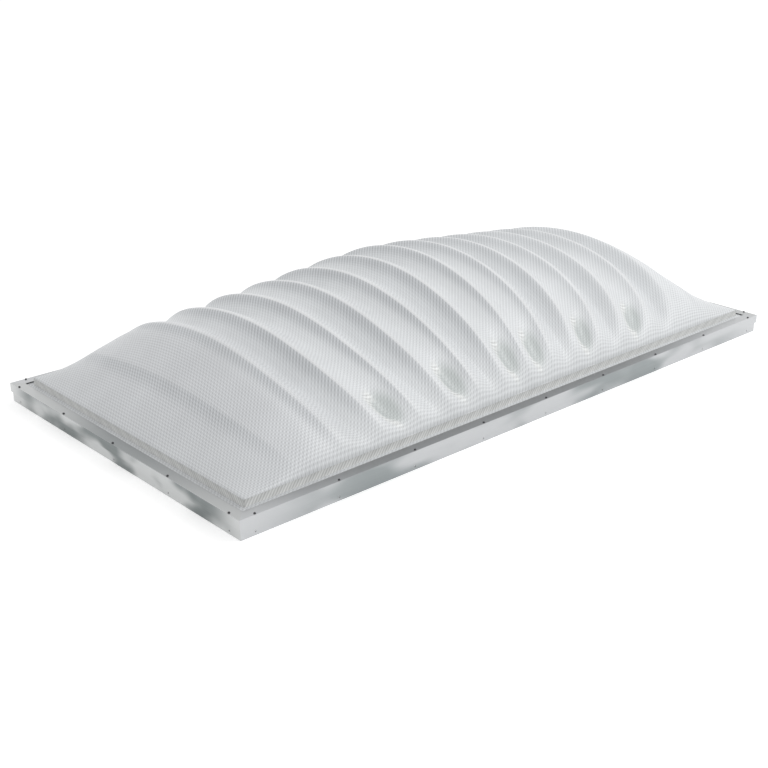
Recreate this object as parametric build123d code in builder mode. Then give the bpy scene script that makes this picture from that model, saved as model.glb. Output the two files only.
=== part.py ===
"""Curb-mounted roof skylight: a ribbed acrylic dome in an aluminium frame.

Millimetres, +Z up. The long side runs along X. The origin is the centre of the frame at the
skirt's foot. The frame is four mitred rails with a skirt that laps over a roof curb. The glazing
lies on the rails' shelf as a stack of strips and sheets, and four mitred retainers, screwed into
a channel in the rails, clamp it down.
"""
from build123d import *
import os
from math import cos, exp, pi, sin, sqrt

os.makedirs("parts", exist_ok=True)

# Frame rails
skirt_length = 2542.0
skirt_width = 1323.0
frame_height = 67.0
skirt_wall = 2.5
shelf_wall = 2.5
shelf_reach = 58.0
gutter_width = 12.0
gutter_depth = 10.0
gutter_lip = 9.0
gutter_wall = 2.0
drill_height = 12.0
drill_bore = 5.0

# Screw channel at the top of each rail
channel_slot = 4.7
channel_wall = 1.5

# Retainers and their screws
retainer_wall = 2.0
retainer_overhang = 4.75
retainer_reach = 33.0
retainer_drop = 31.0
screw_pitch = 304.8
screw_inset = 1.4
screw_shank = 4.2
screw_length = 14.0
screw_hole = 4.6
screw_head = 9.0
screw_head_height = 3.2
screw_end_room = 30.0
screw_sides = 6

# Strips between the glazing sheets
dome_gasket = 2.0
gasket_show = 1.5
spacer_tape = 3.0
bedding_tape = 2.0
tape_setback = 2.0
tape_width = 20.0
curb_seal = 5.0
curb_seal_width = 38.0
curb_seal_setback = 3.0

# Glazing sheets
dome_sheet = 3.0
lens_sheet = 2.5
lens_rise = 60.0
glazing_edge_room = 3.0
riser_inset = 55.0
riser_height = 24.0

# Dome form: the crests' envelope, then the ribs and the pockets at their feet
crown_rise = 354.5
crown_soft = 87.0
crown_slope_share = 0.116
hip_slope_share = 0.96
hip_blend = 22.0
arch_power_share = 0.68
rib_pitch = 152.4
rib_depth = 40.0
rib_stagger = 12.0
rib_fan_share = 0.18
rib_fan_power_share = 3.5
rib_foot_power_share = 7.0
rib_fade_shares = (0.70, 0.81)
pocket_depth = 24.0
pocket_place_share = 0.885
pocket_spread_share = 0.07

# How finely the glazing is drawn
lines_per_rib = 6
end_line_room = 12.0
points_across = 18
lens_sections = 8

overrun = 5.0

# Levels, from the top down
retainer_under = frame_height - retainer_wall
dome_flange_top = retainer_under - dome_gasket
dome_flange_under = dome_flange_top - dome_sheet
lens_top = dome_flange_under - spacer_tape
lens_under = lens_top - lens_sheet
shelf_top = lens_under - bedding_tape
shelf_under = shelf_top - shelf_wall
dome_spring = dome_flange_top + riser_height

# Insets, from the skirt's outer face towards the middle
channel_outer = screw_inset - channel_slot / 2 - channel_wall
channel_inner = screw_inset + channel_slot / 2 + channel_wall
glazing_edge = channel_inner + glazing_edge_room
shelf_end = shelf_reach + gutter_wall
gutter_end = shelf_end + gutter_width + gutter_wall

dome_half_length = skirt_length / 2 - riser_inset
dome_half_width = skirt_width / 2 - riser_inset


class Side:
    """One side of the frame: where it stands, and where its profile and holes are drawn."""

    def __init__(self, name, turn, run, depth):
        self.name = name
        self.run = run
        self.along = Vector(1, 0, 0).rotate(Axis.Z, turn)
        self.inward = Vector(0, 1, 0).rotate(Axis.Z, turn)
        self.face = self.inward * (-depth / 2)
        self.profile = Plane(origin=self.face, x_dir=self.inward, z_dir=self.along)

    def mitre(self, end):
        """The 45-degree cut at one end (-1 or 1), its normal pointing out of the bar."""
        corner = self.face + self.along * (end * self.run / 2)
        return Plane(origin=corner, z_dir=self.along * end + self.inward)

    def roof(self, level):
        """A level plane with its X along the screw line."""
        origin = self.face + self.inward * screw_inset + Vector(0, 0, level)
        return Plane(origin=origin, x_dir=self.along, z_dir=(0, 0, 1))

    def skirt(self, level):
        """The skirt's outer face, at the height of the drilled holes."""
        origin = self.face + Vector(0, 0, level)
        return Plane(origin=origin, x_dir=self.along, z_dir=self.inward * -1)

    def stations(self):
        """The screws' places along the side, and so the drilled holes' places."""
        each_way = int((self.run / 2 - screw_end_room) // screw_pitch)
        return GridLocations(screw_pitch, screw_pitch, 2 * each_way + 1, 1)


sides = (
    Side("front", 0, skirt_length, skirt_width),
    Side("right", 90, skirt_width, skirt_length),
    Side("back", 180, skirt_length, skirt_width),
    Side("left", 270, skirt_width, skirt_length),
)


def mitred_bar(side, outline):
    """A bar of one section along a side, with its ends cut to the corners' mitres."""
    with BuildPart() as bar:
        with BuildSketch(side.profile):
            with BuildLine():
                Polyline(*outline, close=True)
            make_face()
        extrude(amount=side.run / 2 + retainer_overhang, both=True)
        for end in (-1, 1):
            split(bisect_by=side.mitre(end), keep=Keep.BOTTOM)
    return bar


def strip(side, inset, width, under, height):
    """A flat strip of gasket or tape along a side."""
    outline = (
        (inset, under),
        (inset + width, under),
        (inset + width, under + height),
        (inset, under + height),
    )
    return mitred_bar(side, outline)


def finish(builder, name):
    builder.part.label = name
    export_step(builder.part, f"parts/{name}.step")


# Rail section: skirt, screw channel, shelf and condensation gutter
channel_floor = shelf_under + channel_wall
gutter_floor = shelf_top - gutter_depth
rail_outline = (
    (0, 0),
    (0, shelf_under),
    (channel_outer, shelf_under),
    (channel_outer, retainer_under),
    (channel_outer + channel_wall, retainer_under),
    (channel_outer + channel_wall, channel_floor),
    (channel_inner - channel_wall, channel_floor),
    (channel_inner - channel_wall, retainer_under),
    (channel_inner, retainer_under),
    (channel_inner, shelf_top),
    (shelf_end, shelf_top),
    (shelf_end, gutter_floor),
    (gutter_end - gutter_wall, gutter_floor),
    (gutter_end - gutter_wall, gutter_floor + gutter_lip),
    (gutter_end, gutter_floor + gutter_lip),
    (gutter_end, gutter_floor - gutter_wall),
    (shelf_reach, gutter_floor - gutter_wall),
    (shelf_reach, shelf_under),
    (skirt_wall, shelf_under),
    (skirt_wall, 0),
)
for side in sides:
    bar = mitred_bar(side, rail_outline)
    with BuildPart() as rail:
        add(bar.part)
        with BuildSketch(side.skirt(drill_height)):
            with side.stations():
                Circle(drill_bore / 2)
        extrude(amount=-skirt_wall - overrun, mode=Mode.SUBTRACT)
    finish(rail, f"frame_rail_{side.name}")

# Retainer section: an angle that covers the screw channel and the edge of the glazing
retainer_outline = (
    (-retainer_overhang, frame_height - retainer_drop),
    (-retainer_overhang, frame_height),
    (retainer_reach, frame_height),
    (retainer_reach, retainer_under),
    (retainer_wall - retainer_overhang, retainer_under),
    (retainer_wall - retainer_overhang, frame_height - retainer_drop),
)
for side in sides:
    bar = mitred_bar(side, retainer_outline)
    with BuildPart() as retainer:
        add(bar.part)
        with BuildSketch(side.roof(frame_height)):
            with side.stations():
                RegularPolygon(screw_hole / 2, screw_sides)
        extrude(amount=-retainer_wall - overrun, mode=Mode.SUBTRACT)
    finish(retainer, f"retainer_{side.name}")

# Retainer screws: a domed head on each retainer, and a shank down into the channel
with BuildPart() as screws:
    for side in sides:
        with BuildSketch(side.roof(frame_height)):
            with side.stations():
                RegularPolygon(screw_head / 2, screw_sides)
        extrude(amount=screw_head_height, taper=25)
        with BuildSketch(side.roof(frame_height)):
            with side.stations():
                RegularPolygon(screw_shank / 2, screw_sides)
        extrude(amount=-screw_length)
finish(screws, "retainer_screws")

# Strips of the glazing stack, from the top down, and the foam that seals on the curb
gasket_width = retainer_reach + gasket_show - glazing_edge
tape_inset = glazing_edge + tape_setback
seal_inset = skirt_wall + curb_seal_setback
seal_under = shelf_under - curb_seal
for side in sides:
    gasket = strip(side, glazing_edge, gasket_width, dome_flange_top, dome_gasket)
    finish(gasket, f"dome_gasket_{side.name}")
    spacer = strip(side, tape_inset, tape_width, lens_top, spacer_tape)
    finish(spacer, f"spacer_tape_{side.name}")
    bedding = strip(side, tape_inset, tape_width, shelf_top, bedding_tape)
    finish(bedding, f"bedding_tape_{side.name}")
    seal = strip(side, seal_inset, curb_seal_width, seal_under, curb_seal)
    finish(seal, f"curb_seal_{side.name}")


def ease(share):
    """A smooth step from 0 to 1 while the share goes from 0 to 1."""
    held = min(1.0, max(0.0, share))
    return held * held * (3 - 2 * held)


def crest_rise(x):
    """The crests' height on the dome's long centre line: a soft crown between two hips."""
    crown = crown_rise - crown_slope_share * (sqrt(x * x + crown_soft * crown_soft) - crown_soft)
    hip = hip_slope_share * (dome_half_length - abs(x))
    return max(0.0, (crown + hip - sqrt((crown - hip) ** 2 + hip_blend**2)) / 2)


def share_across(y):
    return min(1.0, abs(y) / dome_half_width)


def fanned(place, y):
    """Where a line that crosses the top of the dome at a place has got to further down: the ribs
    lean towards the middle at their feet, and less so at the ends."""
    along = place / dome_half_length
    lean = rib_fan_share * share_across(y) ** rib_fan_power_share
    return place * (1 - lean * (1 - along * along))


def dome_rise(place, y):
    """The dome's height over its springing line, on the line from a place on top.

    The ribs' crests lie on the envelope and the valleys between them are sunk into it. The ribs
    fade out on the hips, and every other valley ends in a pocket at the dome's foot, in turn on
    the front and on the back.
    """
    across = share_across(y)
    envelope = crest_rise(fanned(place, y)) * (1 - across * across) ** arch_power_share
    rib = abs(place) / rib_pitch
    valley = (1 - cos(2 * pi * rib)) / 2
    turn = -sin(pi * rib) * y / dome_half_width
    fade_start, fade_end = rib_fade_shares
    fade = 1 - ease((abs(place) / dome_half_length - fade_start) / (fade_end - fade_start))
    sunk = (rib_depth + rib_stagger * turn) * (1 - across**rib_foot_power_share)
    spread = (across - pocket_place_share) / pocket_spread_share
    pocket = pocket_depth * max(0.0, turn) * exp(-spread * spread)
    return max(0.0, envelope - (sunk + pocket) * valley * fade)


def places_across(inset):
    """Places from the front foot to the back foot, closest together at the feet."""
    turns = [pi * (j / points_across - 1 / 2) for j in range(points_across + 1)]
    return [(dome_half_width - inset) * sin(turn) for turn in turns]


def line_over(place, inset):
    """A curve over the dome, along a rib from its front foot to its back foot."""
    length_share = (dome_half_length - inset) / dome_half_length
    width_share = (dome_half_width - inset) / dome_half_width
    points = []
    for y in places_across(inset):
        true_y = y / width_share
        level = dome_spring + dome_rise(place, true_y) - inset
        points.append(Vector(fanned(place, true_y) * length_share, y, level))
    return Edge.make_spline(points, parameters=[j / points_across for j in range(points_across + 1)])


def wall(top, drop):
    """An upright wall from a chain of edges down to the block's foot."""
    first = top[0] @ 0
    last = top[-1] @ 1
    legs = Polyline(last, last + drop, first + drop, first)
    return Face(Wire([*top, *legs.edges()]))


def dome_block(places, foot, inset):
    """A solid block under a roof of strips, each ruled from one line to the next."""
    lines = [line_over(place, inset) for place in places]
    fronts = Polyline(*[line @ 0 for line in lines])
    backs = Polyline(*[line @ 1 for line in lines])
    drop = Vector(0, 0, foot - (dome_spring - inset))
    faces = [Face.make_surface_from_curves(*pair) for pair in zip(lines, lines[1:])]
    for top in (fronts.edges(), backs.edges(), [lines[0]], [lines[-1]]):
        faces.append(wall(top, drop))
    corners = (fronts @ 0, fronts @ 1, backs @ 1, backs @ 0)
    faces.append(Face(Wire.make_polygon([corner + drop for corner in corners])))
    return Solid(Shell(faces))


def lens_block(foot, inset):
    """A solid block under a shallow pillow, lofted through arches along its length."""
    half_length = dome_half_length - inset
    half_width = dome_half_width - inset
    with BuildPart() as block:
        for j in range(lens_sections + 1):
            along = 2 * j / lens_sections - 1
            rise = lens_rise * (1 - along * along)
            arch = []
            for y in places_across(inset):
                arch.append((y, lens_top + rise * (1 - (y / half_width) ** 2) - inset))
            with BuildSketch(Plane.YZ.offset(half_length * along)):
                with BuildLine():
                    Spline(*arch)
                    Polyline(arch[-1], (half_width, foot), (-half_width, foot), arch[0])
                make_face()
        loft()
    return block.part


def glazing(outer, inner, flange_under, sheet):
    """A moulded sheet: a flat flange round the shell that is left between two blocks."""
    with BuildPart() as moulding:
        with BuildSketch(Plane.XY.offset(flange_under)):
            Rectangle(skirt_length - 2 * glazing_edge, skirt_width - 2 * glazing_edge)
        extrude(amount=sheet)
        add(outer)
        add(inner, mode=Mode.SUBTRACT)
    return moulding


# Outer dome, with a last line close to each end, where the hips run out
line_step = rib_pitch / lines_per_rib
last_place = dome_half_length - end_line_room
each_way = int((last_place - line_step / 2) // line_step)
dome_places = [j * line_step for j in range(-each_way, each_way + 1)]
dome_places = [-dome_half_length, -last_place, *dome_places, last_place, dome_half_length]
dome_outside = dome_block(dome_places, dome_flange_under, 0)
dome_inside = dome_block(dome_places, dome_flange_under - overrun, dome_sheet)
outer_dome = glazing(dome_outside, dome_inside, dome_flange_under, dome_sheet)
finish(outer_dome, "outer_dome")

# Inner lens
lens_outside = lens_block(lens_under, 0)
lens_inside = lens_block(lens_under - overrun, lens_sheet)
inner_lens = glazing(lens_outside, lens_inside, lens_under, lens_sheet)
finish(inner_lens, "inner_lens")
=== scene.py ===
"""Looks of the roof skylight: a ribbed, prismatic acrylic dome in a mill-finish aluminium frame.

Metres, +Z up, in the frame that the part is packed in. The long side runs along X, and the
photograph looks at the corner between the front (-Y) and the left end (-X).
"""

from math import cos, exp, pi, radians, sin, sqrt

import bmesh
import bpy
from mathutils import Matrix, Vector


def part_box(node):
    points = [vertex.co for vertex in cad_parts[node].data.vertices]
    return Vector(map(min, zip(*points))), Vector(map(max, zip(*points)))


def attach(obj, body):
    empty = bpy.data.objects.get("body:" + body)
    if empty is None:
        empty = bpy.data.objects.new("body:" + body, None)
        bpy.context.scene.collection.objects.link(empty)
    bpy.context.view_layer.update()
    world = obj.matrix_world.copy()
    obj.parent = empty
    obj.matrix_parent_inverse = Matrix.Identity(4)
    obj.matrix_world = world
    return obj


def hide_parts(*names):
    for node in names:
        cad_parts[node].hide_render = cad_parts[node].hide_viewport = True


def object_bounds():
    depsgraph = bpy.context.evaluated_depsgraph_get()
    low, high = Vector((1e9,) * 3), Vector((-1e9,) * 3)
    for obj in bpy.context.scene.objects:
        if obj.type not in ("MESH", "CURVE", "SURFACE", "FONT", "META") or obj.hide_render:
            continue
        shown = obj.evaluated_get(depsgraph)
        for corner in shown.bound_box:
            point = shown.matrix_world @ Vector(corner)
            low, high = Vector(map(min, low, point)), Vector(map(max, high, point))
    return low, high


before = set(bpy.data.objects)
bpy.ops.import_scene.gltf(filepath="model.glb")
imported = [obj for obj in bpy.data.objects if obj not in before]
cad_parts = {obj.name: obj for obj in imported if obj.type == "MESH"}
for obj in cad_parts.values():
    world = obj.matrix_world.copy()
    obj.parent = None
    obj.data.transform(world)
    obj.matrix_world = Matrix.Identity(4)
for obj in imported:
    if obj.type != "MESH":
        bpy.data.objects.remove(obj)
cad_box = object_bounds()

MM = 0.001
SIDES = ("front", "right", "back", "left")
LONG_SIDES = ("front", "back")

# Dome sheet, its flange and its riser
dome_low, dome_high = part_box("outer_dome")
SHEET = 3.0 * MM
FLANGE_WIDTH = 46.75 * MM
RISER_HEIGHT = 24.0 * MM
HALF_LENGTH = dome_high.x - FLANGE_WIDTH
HALF_WIDTH = dome_high.y - FLANGE_WIDTH
SPRING = dome_low.z + SHEET + RISER_HEIGHT
CREASE = 1.0 * MM
RIM_TOLERANCE = 0.5 * MM
DOME_STEPS = (330, 120)

# Crests and arch of the dome, with the crown half a millimetre under the part's own
CROWN_RISE = 354.0 * MM
CROWN_SOFT = 87.0 * MM
CROWN_SLOPE = 0.116
HIP_SLOPE = 0.96
HIP_BLEND = 22.0 * MM
ARCH_POWER = 0.68

# Ribs and pockets, where the part has smaller pockets, less fan, the opposite stagger and bare hips
RIB_PITCH = 152.4 * MM
RIB_DEPTH = 40.0 * MM
RIB_STAGGER = 22.0 * MM
RIB_FAN = 0.22
RIB_FAN_POWER = 3.5
RIB_FOOT_POWER = 6.0
RIB_FADE = (0.70, 0.81)
POCKET_DEPTH = 30.0 * MM
POCKET_PLACE = 0.875
POCKET_SPREAD = 0.082
HIP_RIB_SHARE = 0.15
HIP_BARE = (0.84, 1.0)

# What the dome's points hold, for the acrylic's tones, painted shade and painted highlights to follow
DOME_LAYERS = ("valley", "lee", "ribbed", "pocket", "to_pocket", "hip", "riser")

# Tones of the acrylic, and the share in which some of them cover what is under them: painted shade on the
# left end, the flanks, the foot, the pockets and the riser, and painted highlights on the rims and crests
LIT_TONE = (0.79, 0.81, 0.825)
END_SHADE_TONE = (0.68, 0.695, 0.715)
FLANK_SHADE_TONE = (0.57, 0.59, 0.61)
FOOT_SHADE_TONE = (0.62, 0.64, 0.65)
POCKET_SHADE_TONE = (0.55, 0.59, 0.58)
RIM_HIGHLIGHT_TONE = (0.87, 0.88, 0.87)
CREST_HIGHLIGHT_TONE = (0.86, 0.87, 0.88)
RISER_SHADE_TONE = (0.64, 0.65, 0.64)
END_COVER = 0.8
FOOT_COVER = 0.35
POCKET_COVER = 0.8
RIM_COVER = 0.7
CREST_COVER = 0.7
HIP_CREST_COVER = 0.2
HIP_FLANK_COVER = 0.9
RIGHT_FLANK_LOSS = 0.65

# Where the tones begin and end: places, then shares of a valley, a rib's side or a pocket
END_RANGE = (700.0 * MM, 1050.0 * MM)
RIGHT_FLANK_RANGE = (-300.0 * MM, 800.0 * MM)
FOOT_HEIGHT = 110.0 * MM
CREST_EDGE = (0.002, 0.03)
FLANK_EDGE = (0.10, 0.80)
LEE_EDGE = (0.35, 0.65)
TO_POCKET_EDGE = (0.15, 0.70)
POCKET_EDGE = (0.10, 0.60)
RIM_OUTER_EDGE = (0.10, 0.35)
RIM_INNER_EDGE = (0.40, 0.70)

# Prisms moulded into the acrylic, and the slanting lines and bands that they make on the riser
PRISM_PITCH = 10.5 * MM
PRISM_BUMP = 0.8 * MM
PRISM_BUMP_STRENGTH = 0.25
SLANT_PITCH = 12.0 * MM
SLANT_RISE = 18.0 * MM
BAND_PITCH = 60.0 * MM
BAND_RISE = 40.0 * MM

# How much the prisms, and soft clouds, lighten and darken the acrylic
COLUMN_SHADE = 0.08
FLANK_COLUMN_SHADE = 0.10
CREST_CALM = 0.8
DOT_SHADE = 0.06
SMOOTH_DOT_SHADE = 0.09
TICK_SHADE = 0.14
SLANT_SHADE = 0.16
BAND_SHADE = 0.06
CLOUD_SHADE = 0.16
CLOUD_SCALE = 7.0

# Mill-finish metal: its top level, painted clouded reflections, drawn streaks and painted glints at the
# corners
TOP_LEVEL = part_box("retainer_front")[1].z
TOP_EDGE = (TOP_LEVEL - 1.0 * MM, TOP_LEVEL - 0.5 * MM)
REFLECTION_SCALE = 6.5
REFLECTION_STRETCH = (0.55, 0.85, 1.6)
REFLECTION_SHIFT = (0.35, 0.2, 0.0)
REFLECTION_EDGE = (0.40, 0.60)
STREAK_SCALE = 90.0
STREAK_STRETCH = (0.05, 0.05, 3.0)
STREAK_SHARE = 0.15
TOP_CLOUD_SHARE = 0.2
TOP_GLINT = 600.0 * MM
METAL_ROUGHNESS = 0.26
CLOUD_ROUGHNESS = 0.14

# Fine mottle of the dull materials, and the screws' coat and wear
MOTTLE_SCALE = 400.0
MOTTLE_DARK = 0.8
MOTTLE_BUMP = 0.3 * MM
MOTTLE_BUMP_STRENGTH = 0.3
WEAR_SCALE = 900.0
SCREW_COAT = (0.03, 0.03, 0.035)
SCREW_WORN = (0.08, 0.08, 0.085)

# Floor and light: the floor glows for the eye only, and the sky lights with a share of its white
FLOOR_HALF = 30.0
FLOOR_COLOUR = (0.86, 0.86, 0.86)
FLOOR_GLOW = 0.45
SKY_LIGHT = 0.72
WHITE = (1, 1, 1)
KEY_PLACE = (3.5, -3.5, 4.5)
KEY_TARGET = (0, 0, 0.2)
KEY_SIZE = 3.0
KEY_WATTS = 95

# Camera at the photograph's angle
CAMERA_PLACE = (-2.9906, -3.1242, 1.6885)
AZIMUTH, ELEVATION, ROLL = radians(-42.38), radians(22.318), radians(0.139)
SENSOR_WIDTH = 36
FOCAL_LENGTH = 58.06
SHIFT_X, SHIFT_Y = 0.00102, 0.00059


class Value:
    """A shader socket that takes part in Python sums; each sum adds a Math node."""

    def __init__(self, shader, socket):
        self.shader = shader
        self.socket = socket

    def _math(self, operation, *terms):
        return self.shader.node("ShaderNodeMath", {"operation": operation}, dict(enumerate(terms)))

    def __add__(self, other):
        return self._math("ADD", self, other)

    __radd__ = __add__

    def __mul__(self, other):
        return self._math("MULTIPLY", self, other)

    __rmul__ = __mul__

    def __sub__(self, other):
        return self._math("SUBTRACT", self, other)

    def __rsub__(self, other):
        return self._math("SUBTRACT", other, self)

    def sine(self):
        return self._math("SINE", self)

    def size(self):
        return self._math("ABSOLUTE", self)

    def waves(self, pitch):
        """The angle, in radians, of waves with a pitch along this value."""
        return self * (2 * pi / pitch)

    def eased(self, low, high):
        """0 below low, 1 above high, with a smooth step between."""
        settings = {"interpolation_type": "SMOOTHSTEP"}
        sockets = {"Value": self, "From Min": low, "From Max": high}
        return self.shader.node("ShaderNodeMapRange", settings, sockets)

    def over(self, other):
        """This share laid over another, so that 1 in either gives 1."""
        return other + self * (1 - other)

    def part(self, name):
        """Another output of the node that this value comes from."""
        return Value(self.shader, self.socket.node.outputs[name])


class Shader:
    """The nodes of one material, or of the world, set up from its finish."""

    def __init__(self, owner, **finish):
        owner.use_nodes = True
        self.owner = owner
        self.tree = owner.node_tree
        self.surface = next(node for node in self.tree.nodes if node.outputs)
        self.set(**finish)

    def set(self, **finish):
        """Sets the surface's sockets; spaces in their names are written as underscores."""
        for name, value in finish.items():
            self._feed(self.surface.inputs[name.replace("_", " ")], value)

    def _feed(self, socket, value):
        if isinstance(value, Value):
            self.tree.links.new(value.socket, socket)
        elif socket.type == "RGBA" and len(value) == 3:
            socket.default_value = (*value, 1)
        else:
            socket.default_value = value

    def node(self, kind, settings, sockets, output=0):
        """A new node: its settings come first, then its sockets, by name or number."""
        made = self.tree.nodes.new(kind)
        for name, value in settings.items():
            setattr(made, name, value)
        for key, value in sockets.items():
            self._feed(made.inputs[key], value)
        return Value(self, made.outputs[output])

    def coordinates(self):
        return self.node("ShaderNodeTexCoord", {}, {}, "Object")

    def place(self):
        """The piece's own coordinates, as three values."""
        split = self.node("ShaderNodeSeparateXYZ", {}, {"Vector": self.coordinates()})
        return split.part("X"), split.part("Y"), split.part("Z")

    def noise(self, scale, detail, stretch=(1, 1, 1), shift=(0, 0, 0)):
        """Soft clouds, stretched along the axes."""
        sockets = {"Vector": self.coordinates(), "Scale": stretch, "Location": shift}
        mapped = self.node("ShaderNodeMapping", {}, sockets)
        return self.node("ShaderNodeTexNoise", {}, {"Vector": mapped, "Scale": scale, "Detail": detail})

    def attribute(self, name):
        return self.node("ShaderNodeAttribute", {"attribute_name": name}, {}, "Fac")

    def seen(self):
        """1 for rays that show as the picture: to the camera, in gloss or through glass."""
        rays = self.node("ShaderNodeLightPath", {}, {}, "Is Camera Ray")
        return rays + rays.part("Is Glossy Ray") + rays.part("Is Transmission Ray")

    def mix(self, share, first, second):
        """A colour between two colours: a Mix node's inputs 6 and 7, and its output 2."""
        return self.node("ShaderNodeMix", {"data_type": "RGBA"}, {0: share, 6: first, 7: second}, 2)

    def shaded(self, colour, light):
        """A colour times a value."""
        sockets = {"Vector": colour, "Scale": light}
        return self.node("ShaderNodeVectorMath", {"operation": "SCALE"}, sockets)

    def bump(self, height, depth, strength):
        sockets = {"Height": height, "Distance": depth, "Strength": strength}
        return self.node("ShaderNodeBump", {}, sockets)


def ease(value, low, high):
    """A smooth step from 0 at low to 1 at high."""
    share = min(1.0, max(0.0, (value - low) / (high - low)))
    return share * share * (3 - 2 * share)


def across_share(y):
    """0 on the long centre line, 1 at the dome's foot."""
    return min(1.0, abs(y) / HALF_WIDTH)


def crest_rise(x):
    """The crests' height on the long centre line: a soft crown between two hips."""
    crown = CROWN_RISE - CROWN_SLOPE * (sqrt(x * x + CROWN_SOFT**2) - CROWN_SOFT)
    hip = HIP_SLOPE * (HALF_LENGTH - abs(x))
    return max(0.0, (crown + hip - sqrt((crown - hip) ** 2 + HIP_BLEND**2)) / 2)


def fanned(place, y):
    """Where the line from a place on top of the dome has got to further down."""
    along = place / HALF_LENGTH
    lean = RIB_FAN * across_share(y) ** RIB_FAN_POWER
    return place * (1 - lean * (1 - along * along))


def foot_share(y):
    """How much of the ribs is left towards the foot."""
    return 1 - across_share(y) ** RIB_FOOT_POWER


def rib_form(place, y):
    """How deep in a valley a place is, how much of the ribs is left towards the hips, and how
    far the place lies towards the end of its valley that has the pocket (below 0 the other way)."""
    rib = abs(place) / RIB_PITCH
    valley = (1 - cos(2 * pi * rib)) / 2
    fade = 1 - ease(abs(place) / HALF_LENGTH, *RIB_FADE)
    to_pocket = -sin(pi * rib) * y / HALF_WIDTH
    return valley, fade, to_pocket


def hip_form(place, fade):
    """How much of the faint last ribs there is, on the hips."""
    return (1 - fade) * (1 - ease(abs(place) / HALF_LENGTH, *HIP_BARE))


def pocket_form(y, valley, fade, to_pocket):
    """How deep in a pocket a place is, from 0 to about 1."""
    spread = (abs(y) / HALF_WIDTH - POCKET_PLACE) / POCKET_SPREAD
    return max(0.0, to_pocket) * exp(-spread * spread) * sqrt(valley) * fade


def dome_rise(place, y):
    """The ribbed dome's height over its springing line."""
    envelope = crest_rise(fanned(place, y)) * (1 - across_share(y) ** 2) ** ARCH_POWER
    valley, fade, to_pocket = rib_form(place, y)
    ribs = fade + HIP_RIB_SHARE * hip_form(place, fade)
    sunk = (RIB_DEPTH - RIB_STAGGER * to_pocket) * foot_share(y) * valley * ribs
    pocket = POCKET_DEPTH * pocket_form(y, valley, fade, to_pocket)
    return max(0.0, envelope - sunk - pocket)


def prismatic_acrylic():
    """Acrylic with small prisms, which break the light up into fine columns, dots and bands, over tones
    with painted shade and painted highlights.
    """
    acrylic = Shader(bpy.data.materials.new("prismatic_acrylic"), Roughness=0.36, IOR=1.49)
    x, y, z = acrylic.place()
    layers = [acrylic.attribute(name) for name in DOME_LAYERS]
    valley, side, ribbed, pocket, to_pocket, hip, riser = layers

    # Painted highlights on the crests and the pockets' left rims, and painted shade on the ribs' left
    # flanks, which fades towards the right end
    lee = side.eased(*LEE_EDGE)
    # crest: where the painted highlight along each crest goes
    crest = (1 - valley.eased(*CREST_EDGE)) * (ribbed + hip * HIP_CREST_COVER)
    flank_shade = (1 - valley.eased(*FLANK_EDGE)) * lee * (ribbed + hip * HIP_FLANK_COVER)
    flank_shade = flank_shade * (1 - to_pocket.eased(*TO_POCKET_EDGE))
    flank_shade = flank_shade * (1 - RIGHT_FLANK_LOSS * x.eased(*RIGHT_FLANK_RANGE))
    # rim: where the painted highlight on each pocket's left rim goes
    rim = pocket.eased(*RIM_OUTER_EDGE) * (1 - pocket.eased(*RIM_INNER_EDGE)) * (1 - lee)

    # Tones: painted shade on the left end, the flanks, the foot, the pockets and the riser, and painted
    # highlights on the pockets' rims and the crests
    left_end_shade = (0 - x).eased(*END_RANGE)
    # Painted shade, darker towards the dome's foot
    foot = 1 - z.eased(SPRING, SPRING + FOOT_HEIGHT)
    tone = acrylic.mix(left_end_shade * END_COVER, LIT_TONE, END_SHADE_TONE)
    tone = acrylic.mix(flank_shade, tone, FLANK_SHADE_TONE)
    tone = acrylic.mix(foot * FOOT_COVER, tone, FOOT_SHADE_TONE)
    # Painted shade inside the pockets
    tone = acrylic.mix(pocket.eased(*POCKET_EDGE) * POCKET_COVER, tone, POCKET_SHADE_TONE)
    tone = acrylic.mix(rim * RIM_COVER, tone, RIM_HIGHLIGHT_TONE)
    tone = acrylic.mix(crest * CREST_COVER, tone, CREST_HIGHLIGHT_TONE)
    # Painted shade on the upright riser
    tone = acrylic.mix(riser, tone, RISER_SHADE_TONE)

    # Prisms, with stronger columns in the flanks' painted shade, calmer ones under the crests' painted
    # highlights, and ticks in the rims' painted highlights
    column = (x - y).waves(PRISM_PITCH * sqrt(2)).sine()
    row = (x + y).waves(PRISM_PITCH * sqrt(2)).sine()
    tick = y.waves(PRISM_PITCH).sine()
    slant = ((x + y).waves(SLANT_PITCH) - z.waves(SLANT_RISE)).sine()
    band = ((x + y).waves(BAND_PITCH) - z.waves(BAND_RISE)).sine()
    columns = column * (COLUMN_SHADE + FLANK_COLUMN_SHADE * flank_shade) * (1 - CREST_CALM * crest)
    dots = row * column * (DOT_SHADE + SMOOTH_DOT_SHADE * (1 - ribbed))
    stripes = slant * SLANT_SHADE + band * BAND_SHADE
    clouds = (acrylic.noise(CLOUD_SCALE, detail=2.0) - 0.5) * CLOUD_SHADE
    light = 1 + clouds + (columns + dots) * (1 - riser) + stripes * riser + tick * rim * TICK_SHADE
    acrylic.set(Base_Color=acrylic.shaded(tone, light))
    acrylic.set(Normal=acrylic.bump(column, PRISM_BUMP, PRISM_BUMP_STRENGTH))
    return acrylic.owner


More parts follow.
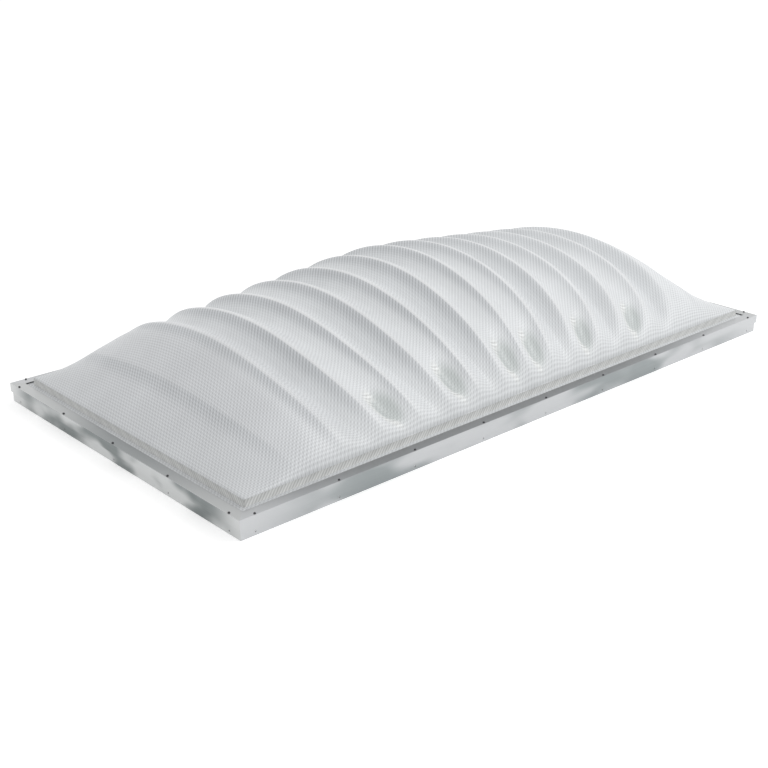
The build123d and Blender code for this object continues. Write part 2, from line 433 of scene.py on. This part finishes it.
def mill_aluminium(name, faces, tops, axis, top_painted_light_range, glint):
    """Mill-finish extrusion along an axis: painted clouded reflections on its upright faces, drawn out
    along the bar, a top with painted light that brightens between two places, and painted glints that
    brighten its ends at the corners."""
    metal = Shader(bpy.data.materials.new(name), Metallic=1.0)
    place = metal.place()
    along, height = place[axis], place[2]
    clouds = metal.noise(REFLECTION_SCALE, detail=1.5, stretch=REFLECTION_STRETCH, shift=REFLECTION_SHIFT)
    streaks = metal.noise(STREAK_SCALE, detail=2.0, stretch=STREAK_STRETCH)
    reach = cad_box[1][axis]
    # Painted glints at the bar's ends, on the faces and on the top
    corner = along.size().eased(reach - glint, reach)
    top_corner_glint = along.size().eased(reach - TOP_GLINT, reach)
    # The faces' share follows painted clouded reflections and drawn streaks, and the top's share follows
    # painted light along the bar and painted reflections; both brighten into painted glints at the
    # corners
    share = clouds.eased(*REFLECTION_EDGE) * (1 - STREAK_SHARE) + streaks * STREAK_SHARE
    top_painted_light = along.eased(*top_painted_light_range) * (1 - TOP_CLOUD_SHARE) + clouds * TOP_CLOUD_SHARE
    face = metal.mix(corner.over(share), *faces)
    top = metal.mix(top_corner_glint.over(top_painted_light), *tops)
    on_top = height.eased(*TOP_EDGE)
    metal.set(Base_Color=metal.mix(on_top, face, top))
    metal.set(Roughness=METAL_ROUGHNESS + CLOUD_ROUGHNESS * clouds)
    return metal.owner


def dull(name, colour, roughness):
    """A dull material with a fine mottle."""
    matter = Shader(bpy.data.materials.new(name), Roughness=roughness)
    mottle = matter.noise(MOTTLE_SCALE, detail=3.0)
    dark = tuple(share * MOTTLE_DARK for share in colour)
    matter.set(Base_Color=matter.mix(mottle, dark, colour))
    matter.set(Normal=matter.bump(mottle, MOTTLE_BUMP, MOTTLE_BUMP_STRENGTH))
    return matter.owner


def dark_steel():
    """Dark-coated screws with a light sheen."""
    steel = Shader(bpy.data.materials.new("dark_screws"), Metallic=0.6, Roughness=0.42)
    wear = steel.noise(WEAR_SCALE, detail=2.0)
    steel.set(Base_Color=steel.mix(wear, SCREW_COAT, SCREW_WORN))
    return steel.owner


def draw_ribs(form, layers):
    """Lifts a flat square grid to the ribbed dome, and notes its form on the grid's points."""
    for vert in form.verts:
        place = vert.co.x * HALF_LENGTH
        y = sin(vert.co.y * pi / 2) * HALF_WIDTH
        depth, fade, to_pocket = rib_form(place, y)
        vert[layers["valley"]] = depth
        vert[layers["lee"]] = (1 - sin(2 * pi * place / RIB_PITCH)) / 2
        vert[layers["ribbed"]] = fade * foot_share(y)
        vert[layers["pocket"]] = pocket_form(y, depth, fade, to_pocket)
        vert[layers["to_pocket"]] = to_pocket * fade
        vert[layers["hip"]] = hip_form(place, fade) * foot_share(y)
        vert.co = (fanned(place, y), y, SPRING + dome_rise(place, y))


def draw_riser(form, layers):
    """Extrudes the dome's rim down to a riser and out to a flange, with a tight crease at each."""
    rim = [edge for edge in form.edges if edge.is_boundary]
    down = ((-CREASE, 0, 1), (CREASE - RISER_HEIGHT, 0, 1))
    out = ((0, CREASE, 0), (0, FLANGE_WIDTH - CREASE, 0))
    for drop, grow, upright in down + out:
        made = bmesh.ops.extrude_edge_only(form, edges=rim)["geom"]
        rim = [item for item in made if isinstance(item, bmesh.types.BMEdge)]
        for vert in (item for item in made if isinstance(item, bmesh.types.BMVert)):
            vert.co.z += drop
            if abs(vert.co.x) > HALF_LENGTH - RIM_TOLERANCE:
                vert.co.x += grow if vert.co.x > 0 else -grow
            if abs(vert.co.y) > HALF_WIDTH - RIM_TOLERANCE:
                vert.co.y += grow if vert.co.y > 0 else -grow
            vert[layers["valley"]] = 1
            vert[layers["riser"]] = upright


def build_dome(material):
    """The ribbed dome on its riser, with the flange that the retainers clamp.

    Its points hold what the acrylic's tones follow: valley, 0 on a crest and 1 in a valley; lee,
    1 on the left side of a crest; ribbed and hip, how much there is of the ribs and of the faint
    last ribs; pocket, the depth in a pocket; to_pocket, how near its end of the valley is; and
    riser, 1 on the riser.
    """
    form = bmesh.new()
    layers = {name: form.verts.layers.float.new(name) for name in DOME_LAYERS}
    steps_long, steps_wide = DOME_STEPS
    bmesh.ops.create_grid(form, x_segments=steps_long, y_segments=steps_wide, size=1)
    draw_ribs(form, layers)
    draw_riser(form, layers)
    bmesh.ops.recalc_face_normals(form, faces=form.faces)
    if sum(face.normal.z for face in form.faces) < 0:
        bmesh.ops.reverse_faces(form, faces=form.faces)
    mesh = bpy.data.meshes.new("ribbed_dome")
    form.to_mesh(mesh)
    form.free()
    for polygon in mesh.polygons:
        polygon.use_smooth = True
    mesh.materials.append(material)
    dome = bpy.data.objects.new("ribbed_dome", mesh)
    bpy.context.scene.collection.objects.link(dome)
    sheet = dome.modifiers.new("sheet", "SOLIDIFY")
    sheet.thickness = SHEET
    sheet.offset = -1
    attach(dome, "root")
    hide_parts("outer_dome")


def finish(node, material):
    """Gives a CAD node its material."""
    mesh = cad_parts[node].data
    mesh.materials.clear()
    mesh.materials.append(material)


def lay_floor():
    """A pale floor that shows as white, apart from the object's shadow."""
    form = bmesh.new()
    bmesh.ops.create_grid(form, x_segments=1, y_segments=1, size=FLOOR_HALF)
    mesh = bpy.data.meshes.new("floor")
    form.to_mesh(mesh)
    form.free()
    pale = Shader(bpy.data.materials.new("pale_floor"), Base_Color=FLOOR_COLOUR, Roughness=0.9)
    pale.set(Specular_IOR_Level=0, Emission_Color=pale.shaded(WHITE, pale.seen()))
    pale.set(Emission_Strength=FLOOR_GLOW)
    mesh.materials.append(pale.owner)
    floor = bpy.data.objects.new("floor", mesh)
    bpy.context.scene.collection.objects.link(floor)


def light_studio():
    """A sky that is white where it shows and softer as light, and one large square lamp."""
    sky = Shader(bpy.data.worlds.new("studio"), Strength=1.0)
    sky.set(Color=sky.shaded(WHITE, SKY_LIGHT + sky.seen() * (1 - SKY_LIGHT)))
    bpy.context.scene.world = sky.owner
    lamp = bpy.data.lights.new("key", "AREA")
    lamp.size = KEY_SIZE
    lamp.energy = KEY_WATTS
    holder = bpy.data.objects.new("key", lamp)
    holder.location = KEY_PLACE
    aim = Vector(KEY_TARGET) - Vector(KEY_PLACE)
    holder.rotation_euler = aim.to_track_quat("-Z", "Y").to_euler()
    bpy.context.scene.collection.objects.link(holder)


def set_camera():
    """A camera at the photograph's angle."""
    back = Vector((sin(AZIMUTH) * cos(ELEVATION), -cos(AZIMUTH) * cos(ELEVATION), sin(ELEVATION)))
    level_right = Vector((0, 0, 1)).cross(back).normalized()
    level_up = back.cross(level_right)
    right = level_right * cos(ROLL) + level_up * sin(ROLL)
    up = back.cross(right)
    optics = bpy.data.cameras.new("photo_camera")
    optics.sensor_width = SENSOR_WIDTH
    optics.lens = FOCAL_LENGTH
    optics.shift_x = SHIFT_X
    optics.shift_y = SHIFT_Y
    camera = bpy.data.objects.new("photo_camera", optics)
    turn = Matrix((right, up, back)).transposed().to_4x4()
    camera.matrix_world = Matrix.Translation(CAMERA_PLACE) @ turn
    bpy.context.scene.collection.objects.link(camera)
    bpy.context.scene.camera = camera


build_dome(prismatic_acrylic())

# Two copies of one aluminium: the short sides' copy is darker, painted shade on the ends that face away
# from the lamp
long_metal = mill_aluminium(
    "aluminium_long_sides",
    faces=((0.28, 0.305, 0.31), (0.55, 0.56, 0.57)),
    tops=((0.29, 0.295, 0.30), (0.54, 0.55, 0.56)),
    axis=0,
    top_painted_light_range=(300.0 * MM, 1200.0 * MM),
    glint=500.0 * MM,
)
shaded_short_metal = mill_aluminium(
    "aluminium_short_sides_painted_shade",
    faces=((0.16, 0.18, 0.18), (0.56, 0.57, 0.57)),
    tops=((0.28, 0.295, 0.30), (0.52, 0.53, 0.53)),
    axis=1,
    top_painted_light_range=(0.0, 600.0 * MM),
    glint=160.0 * MM,
)
rubber = dull("black_rubber", colour=(0.03, 0.03, 0.03), roughness=0.7)
foam = dull("grey_foam", colour=(0.16, 0.16, 0.17), roughness=0.9)

for side in SIDES:
    metal = long_metal if side in LONG_SIDES else shaded_short_metal
    finish(f"frame_rail_{side}", metal)
    finish(f"retainer_{side}", metal)
    finish(f"dome_gasket_{side}", rubber)
    finish(f"spacer_tape_{side}", rubber)
    finish(f"bedding_tape_{side}", rubber)
    finish(f"curb_seal_{side}", foam)
finish("inner_lens", dull("lens_acrylic", colour=(0.80, 0.82, 0.83), roughness=0.4))
finish("retainer_screws", dark_steel())

lay_floor()
light_studio()
set_camera()
bpy.context.scene.view_settings.view_transform = "Standard"
